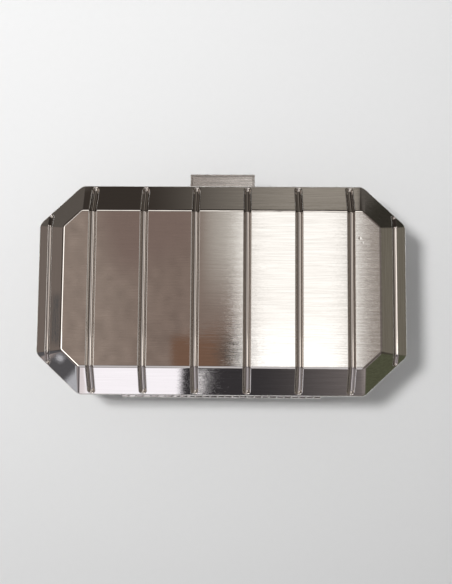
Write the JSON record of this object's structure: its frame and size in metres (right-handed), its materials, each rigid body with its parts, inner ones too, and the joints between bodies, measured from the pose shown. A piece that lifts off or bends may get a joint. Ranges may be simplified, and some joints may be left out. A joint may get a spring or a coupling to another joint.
{
  "type": "minaudiere",
  "caption": "Hard metal evening clutch: eight-sided bevelled box with pressed grooves, piano hinge along one side and a sprung press bar clasp opposite.",
  "frame": {"origin": "centre of the back panel's flat outer face, on which the closed case lies", "axes": "+X along the hinge, +Y from the hinge to the clasp bar, +Z out of the front panel"},
  "size_m": [0.191, 0.1191, 0.042],
  "materials": {
    "brushed_nickel": "satin, brushed along the hinge",
    "bright_nickel": "bright, lightly brushed",
    "plain_steel": "plain bright",
    "board": "plain card",
    "lining_cloth": "matt woven lining"
  },
  "bodies": {
    "case": {"back_shell": "brushed_nickel", "back_rim": "bright_nickel", "hinge_leaf_back": "bright_nickel", "hinge_pin": "plain_steel", "hinge_rivets_back": "bright_nickel", "clasp_bracket": "bright_nickel", "bracket_rivets": "bright_nickel", "catch_spring": "plain_steel", "catch_rivets": "bright_nickel", "return_springs": "plain_steel", "back_board": "board", "back_lining": "lining_cloth"},
    "lid": {"front_shell": "brushed_nickel", "front_rim": "bright_nickel", "hinge_leaf_front": "bright_nickel", "hinge_rivets_front": "bright_nickel", "keeper": "bright_nickel", "keeper_rivets": "bright_nickel", "front_board": "board", "front_lining": "lining_cloth", "slip_pocket": "lining_cloth"},
    "clasp": {"thumb_bar": "brushed_nickel", "pusher_plate": "plain_steel", "bar_screws": "plain_steel", "guide_stems": "plain_steel"}
  },
  "joints": [
    {"name": "lid_hinge", "type": "hinge", "parent": "case", "child": "lid", "pos_m": [0, -0.05465, 0.021], "axis": [1, 0, 0], "range_deg": [0, 100], "deforming": ["catch_spring"]},
    {"name": "clasp_press", "type": "slide", "parent": "case", "child": "clasp", "axis": [0, -1, 0], "range_m": [0, 0.002], "stiffness_N_per_m": 1000, "springref_m": -0.0015, "deforming": ["return_springs", "catch_spring"]}
  ]
}
